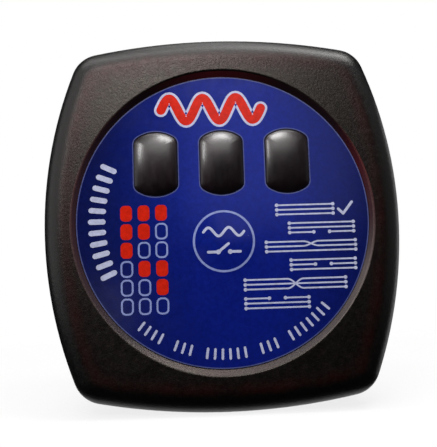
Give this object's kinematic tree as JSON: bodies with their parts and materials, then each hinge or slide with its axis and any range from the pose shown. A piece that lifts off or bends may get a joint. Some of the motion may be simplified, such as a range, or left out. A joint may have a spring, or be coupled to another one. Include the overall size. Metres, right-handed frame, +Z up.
{
  "type": "outlet tester plug",
  "caption": "Plug-in outlet tester: bulged square body, round recessed legend panel, domed indicator windows, press-to-trip button and a flat-pin mains plug on its back.",
  "frame": {"origin": "centre of the rear face that meets the outlet, on the plug's axis and behind the panel's centre", "axes": "+Y points out of the rear face along the pins, into the outlet; the printed front faces -Y; +Z is up with the earth pin above; +X is to the right as the user reads the panel"},
  "size_m": [0.068, 0.053, 0.0714],
  "materials": {
    "front_case": "fine matt grain, dark smoky red-brown",
    "rear_case": "fine matt grain, near black",
    "panel_film": "printed film, semi-gloss deep blue",
    "smoked_lens": "polished smoked plastic",
    "shroud_black": "matt",
    "board_laminate": "solder-mask green, satin",
    "led_epoxy": "tinted clear epoxy",
    "button_black": "satin",
    "switch_black": "satin",
    "switch_stem_plastic": "satin ivory",
    "spring_steel": "satin",
    "pin_brass": "drawn, lightly brushed",
    "sleeve_black": "satin",
    "retainer_plastic": "matt",
    "screw_steel": "zinc plated",
    "wire_brown": "insulation",
    "wire_blue": "insulation",
    "wire_green_yellow": "insulation, green with a yellow stripe",
    "resistor_coating": "flameproof coating",
    "resistor_tan": "lacquer with colour bands",
    "diode_black": "moulded epoxy with a cathode band"
  },
  "bodies": {
    "housing": {"front_cover": "front_case", "rear_cover": "rear_case", "label_overlay": "panel_film", "lens_left": "smoked_lens", "lens_centre": "smoked_lens", "lens_right": "smoked_lens", "light_shroud": "shroud_black", "circuit_board": "board_laminate", "led_left": "led_epoxy", "led_centre": "led_epoxy", "led_right": "led_epoxy", "switch_base": "switch_black", "switch_plate": "spring_steel", "snap_dome": "spring_steel", "line_pin": "pin_brass", "neutral_pin": "pin_brass", "earth_pin": "pin_brass", "line_pin_sleeve": "sleeve_black", "neutral_pin_sleeve": "sleeve_black", "pin_retainer": "retainer_plastic", "retainer_screws": "screw_steel", "line_wire": "wire_brown", "neutral_wire": "wire_blue", "earth_wire": "wire_green_yellow", "trip_resistor_upper": "resistor_coating", "trip_resistor_lower": "resistor_coating", "led_resistors": "resistor_tan", "led_diodes": "diode_black", "board_screws": "screw_steel", "case_screws": "screw_steel"},
    "button": {"trip_button": "button_black"},
    "stem": {"switch_stem": "switch_stem_plastic"}
  },
  "joints": [
    {"name": "trip_press", "type": "slide", "parent": "housing", "child": "button", "axis": [0, 1, 0], "range_m": [0, 0.00035], "deforming": ["snap_dome"]},
    {"name": "stem_press", "type": "slide", "parent": "housing", "child": "stem", "axis": [0, 1, 0], "range_m": [0, 0.00035]}
  ],
  "couplings": [
    {"joint": "stem_press", "follows": "trip_press", "ratio": 1}
  ]
}
